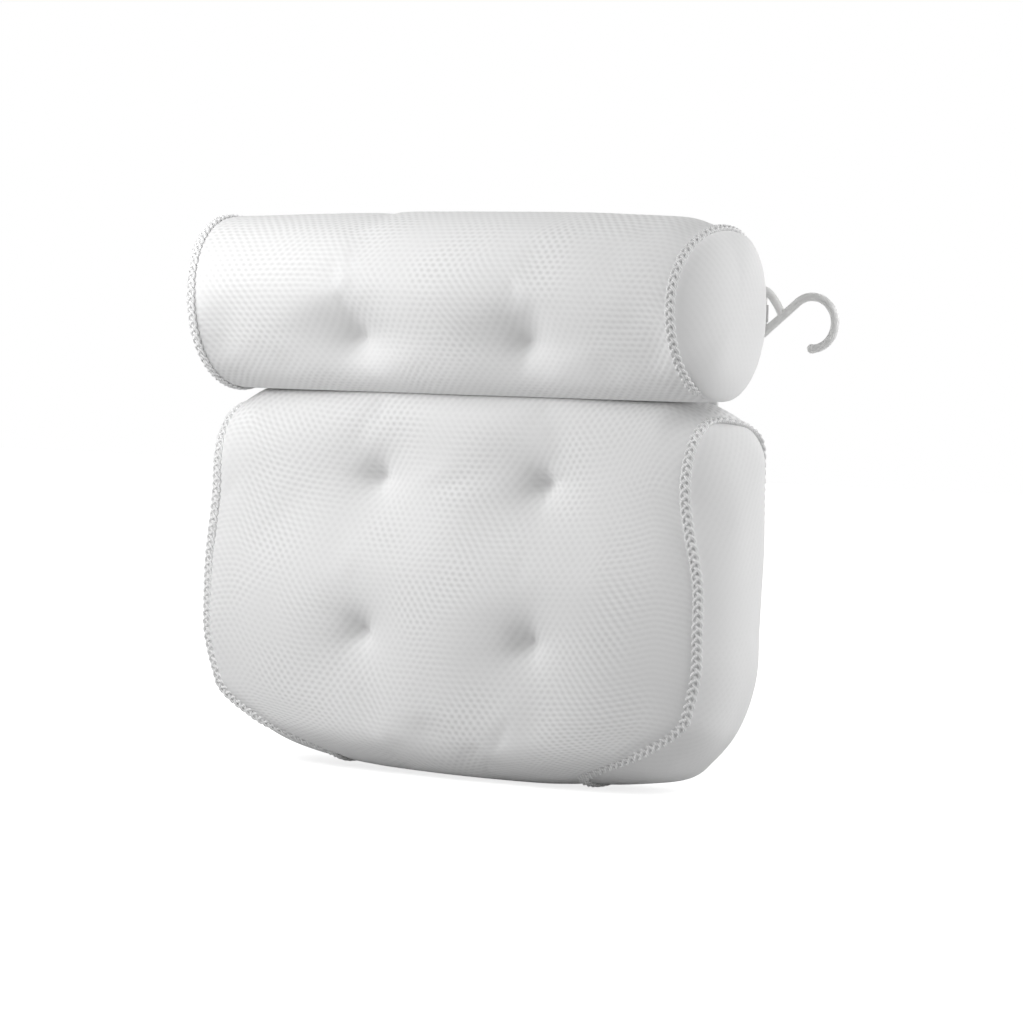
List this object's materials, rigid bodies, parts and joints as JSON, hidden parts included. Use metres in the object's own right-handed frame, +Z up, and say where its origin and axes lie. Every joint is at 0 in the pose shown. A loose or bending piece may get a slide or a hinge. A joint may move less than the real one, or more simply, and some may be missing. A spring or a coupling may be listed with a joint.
{
  "type": "bath pillow",
  "caption": "Padded bath pillow: a round neck roll hinged to a tufted back pad, held to the bath wall by suction cups, with a drying hook.",
  "frame": {"origin": "on the bath wall, in the middle of the back pad's suction cups", "axes": "+Z up, +Y into the wall behind the pillow, -Y out of its front, +X to the right as seen from the front"},
  "size_m": [0.4316, 0.1336, 0.3652],
  "materials": {
    "air_mesh": "white three-layer air mesh with small staggered holes",
    "edging_yarn": "white overlock yarn",
    "fibre_fill": "loose white polyester fibre",
    "clear_soft_plastic": "clear soft PVC, glossy",
    "moulded_plastic": "white moulded plastic, satin",
    "webbing": "white woven webbing"
  },
  "bodies": {
    "pad": {"pad_cover": "air_mesh", "pad_back_panel": "air_mesh", "pad_side_right": "air_mesh", "pad_side_left": "air_mesh", "pad_filling": "fibre_fill", "pad_edging_right": "edging_yarn", "pad_edging_left": "edging_yarn", "hinge_strip": "air_mesh", "eyelet_pad_upper_left": "moulded_plastic", "washer_pad_upper_left": "moulded_plastic", "tuft_tie_pad_upper_left": "edging_yarn", "eyelet_pad_upper_right": "moulded_plastic", "washer_pad_upper_right": "moulded_plastic", "tuft_tie_pad_upper_right": "edging_yarn", "eyelet_pad_lower_left": "moulded_plastic", "washer_pad_lower_left": "moulded_plastic", "tuft_tie_pad_lower_left": "edging_yarn", "eyelet_pad_lower_right": "moulded_plastic", "washer_pad_lower_right": "moulded_plastic", "tuft_tie_pad_lower_right": "edging_yarn"},
    "roll": {"roll_cover": "air_mesh", "roll_end_right": "air_mesh", "roll_end_left": "air_mesh", "roll_filling": "fibre_fill", "roll_edging_right": "edging_yarn", "roll_edging_left": "edging_yarn", "hook_loop": "webbing", "eyelet_roll_left": "moulded_plastic", "washer_roll_left": "moulded_plastic", "tuft_tie_roll_left": "edging_yarn", "eyelet_roll_right": "moulded_plastic", "washer_roll_right": "moulded_plastic", "tuft_tie_roll_right": "edging_yarn"},
    "hook": {"hook": "moulded_plastic"},
    "cup_roll_left": {"suction_cup_roll_left": "clear_soft_plastic"},
    "cup_roll_right": {"suction_cup_roll_right": "clear_soft_plastic"},
    "cup_pad_upper_left": {"suction_cup_pad_upper_left": "clear_soft_plastic"},
    "cup_pad_upper_right": {"suction_cup_pad_upper_right": "clear_soft_plastic"},
    "cup_pad_lower_left": {"suction_cup_pad_lower_left": "clear_soft_plastic"},
    "cup_pad_lower_right": {"suction_cup_pad_lower_right": "clear_soft_plastic"}
  },
  "joints": [
    {"name": "roll_fold", "type": "hinge", "parent": "pad", "child": "roll", "pos_m": [0, -0.014, 0.105], "axis": [-1, 0, 0], "range_deg": [0, 110], "deforming": ["hinge_strip"]},
    {"name": "hook_swing", "type": "hinge", "parent": "roll", "child": "hook", "pos_m": [0.1795, -0.0092, 0.1613], "axis": [0, 0, 1], "range_deg": [-20, 150]},
    {"name": "cup_spin_roll_left", "type": "hinge", "parent": "roll", "child": "cup_roll_left", "pos_m": [-0.064, 0, 0.1415], "axis": [0, 1, 0], "continuous": true},
    {"name": "cup_spin_roll_right", "type": "hinge", "parent": "roll", "child": "cup_roll_right", "pos_m": [0.064, 0, 0.1415], "axis": [0, 1, 0], "continuous": true},
    {"name": "cup_spin_pad_upper_left", "type": "hinge", "parent": "pad", "child": "cup_pad_upper_left", "pos_m": [-0.064, 0, 0.05], "axis": [0, 1, 0], "continuous": true},
    {"name": "cup_spin_pad_upper_right", "type": "hinge", "parent": "pad", "child": "cup_pad_upper_right", "pos_m": [0.064, 0, 0.05], "axis": [0, 1, 0], "continuous": true},
    {"name": "cup_spin_pad_lower_left", "type": "hinge", "parent": "pad", "child": "cup_pad_lower_left", "pos_m": [-0.064, 0, -0.05], "axis": [0, 1, 0], "continuous": true},
    {"name": "cup_spin_pad_lower_right", "type": "hinge", "parent": "pad", "child": "cup_pad_lower_right", "pos_m": [0.064, 0, -0.05], "axis": [0, 1, 0], "continuous": true}
  ]
}
